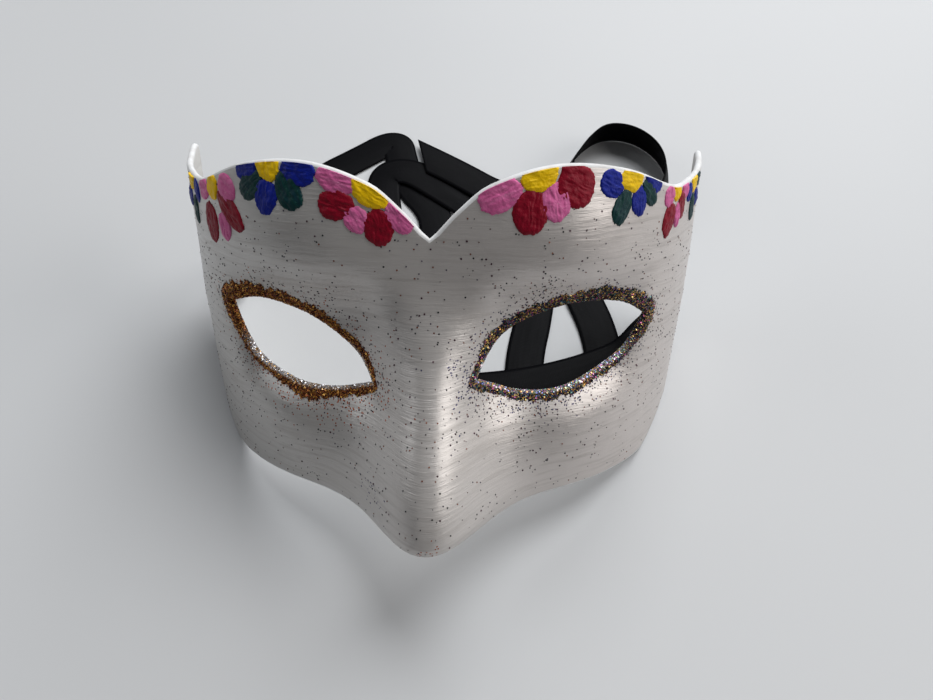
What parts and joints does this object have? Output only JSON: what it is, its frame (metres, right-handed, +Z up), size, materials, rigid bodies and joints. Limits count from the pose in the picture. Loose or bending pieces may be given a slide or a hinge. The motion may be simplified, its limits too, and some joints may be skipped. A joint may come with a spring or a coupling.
{
  "type": "venetian masquerade mask",
  "caption": "Half-face masquerade mask with a nose, almond eye openings, a double-arched brow painted with flowers, glittered eye rims and satin ribbon ties.",
  "frame": {"origin": "on the table, under the middle of the resting mask without its ribbons", "axes": "+Z up from the table the mask rests on, +X to the right as one looks at the mask from its front, -Y towards the nose; the face is tipped back by 38 degrees"},
  "size_m": [0.177, 0.1941, 0.0955],
  "materials": {
    "shell_white": "papier-mache under brushed pearly white paint",
    "glitter_copper": "copper, rust and silver film glitter in glue",
    "glitter_mixed": "black, gold, purple and blue film glitter in glue",
    "paint_pink": "thick acrylic paint, brush ridges",
    "paint_crimson": "thick acrylic paint, brush ridges",
    "paint_blue": "thick acrylic paint, brush ridges",
    "paint_green": "thick acrylic paint, brush ridges",
    "paint_yellow": "thick acrylic paint, brush ridges",
    "patch_cloth": "glued black cloth",
    "ribbon_satin": "black satin"
  },
  "bodies": {
    "root": {"eye_glitter_left": "glitter_copper", "eye_glitter_right": "glitter_mixed", "flower_left_1_crimson": "paint_crimson", "flower_left_1_pink": "paint_pink", "flower_left_1_yellow": "paint_yellow", "flower_left_2_blue": "paint_blue", "flower_left_2_green": "paint_green", "flower_left_2_yellow": "paint_yellow", "flower_left_3_crimson": "paint_crimson", "flower_left_3_pink": "paint_pink", "flower_left_3_yellow": "paint_yellow", "flower_left_4_blue": "paint_blue", "flower_left_4_green": "paint_green", "flower_left_4_yellow": "paint_yellow", "flower_right_1_crimson": "paint_crimson", "flower_right_1_pink": "paint_pink", "flower_right_1_yellow": "paint_yellow", "flower_right_2_blue": "paint_blue", "flower_right_2_green": "paint_green", "flower_right_2_yellow": "paint_yellow", "flower_right_3_crimson": "paint_crimson", "flower_right_3_pink": "paint_pink", "flower_right_3_yellow": "paint_yellow", "flower_right_4_blue": "paint_blue", "flower_right_4_green": "paint_green", "flower_right_4_yellow": "paint_yellow", "mask_shell": "shell_white", "ribbon_left": "ribbon_satin", "ribbon_patch_left": "patch_cloth", "ribbon_patch_right": "patch_cloth", "ribbon_right": "ribbon_satin"}
  },
  "joints": []
}
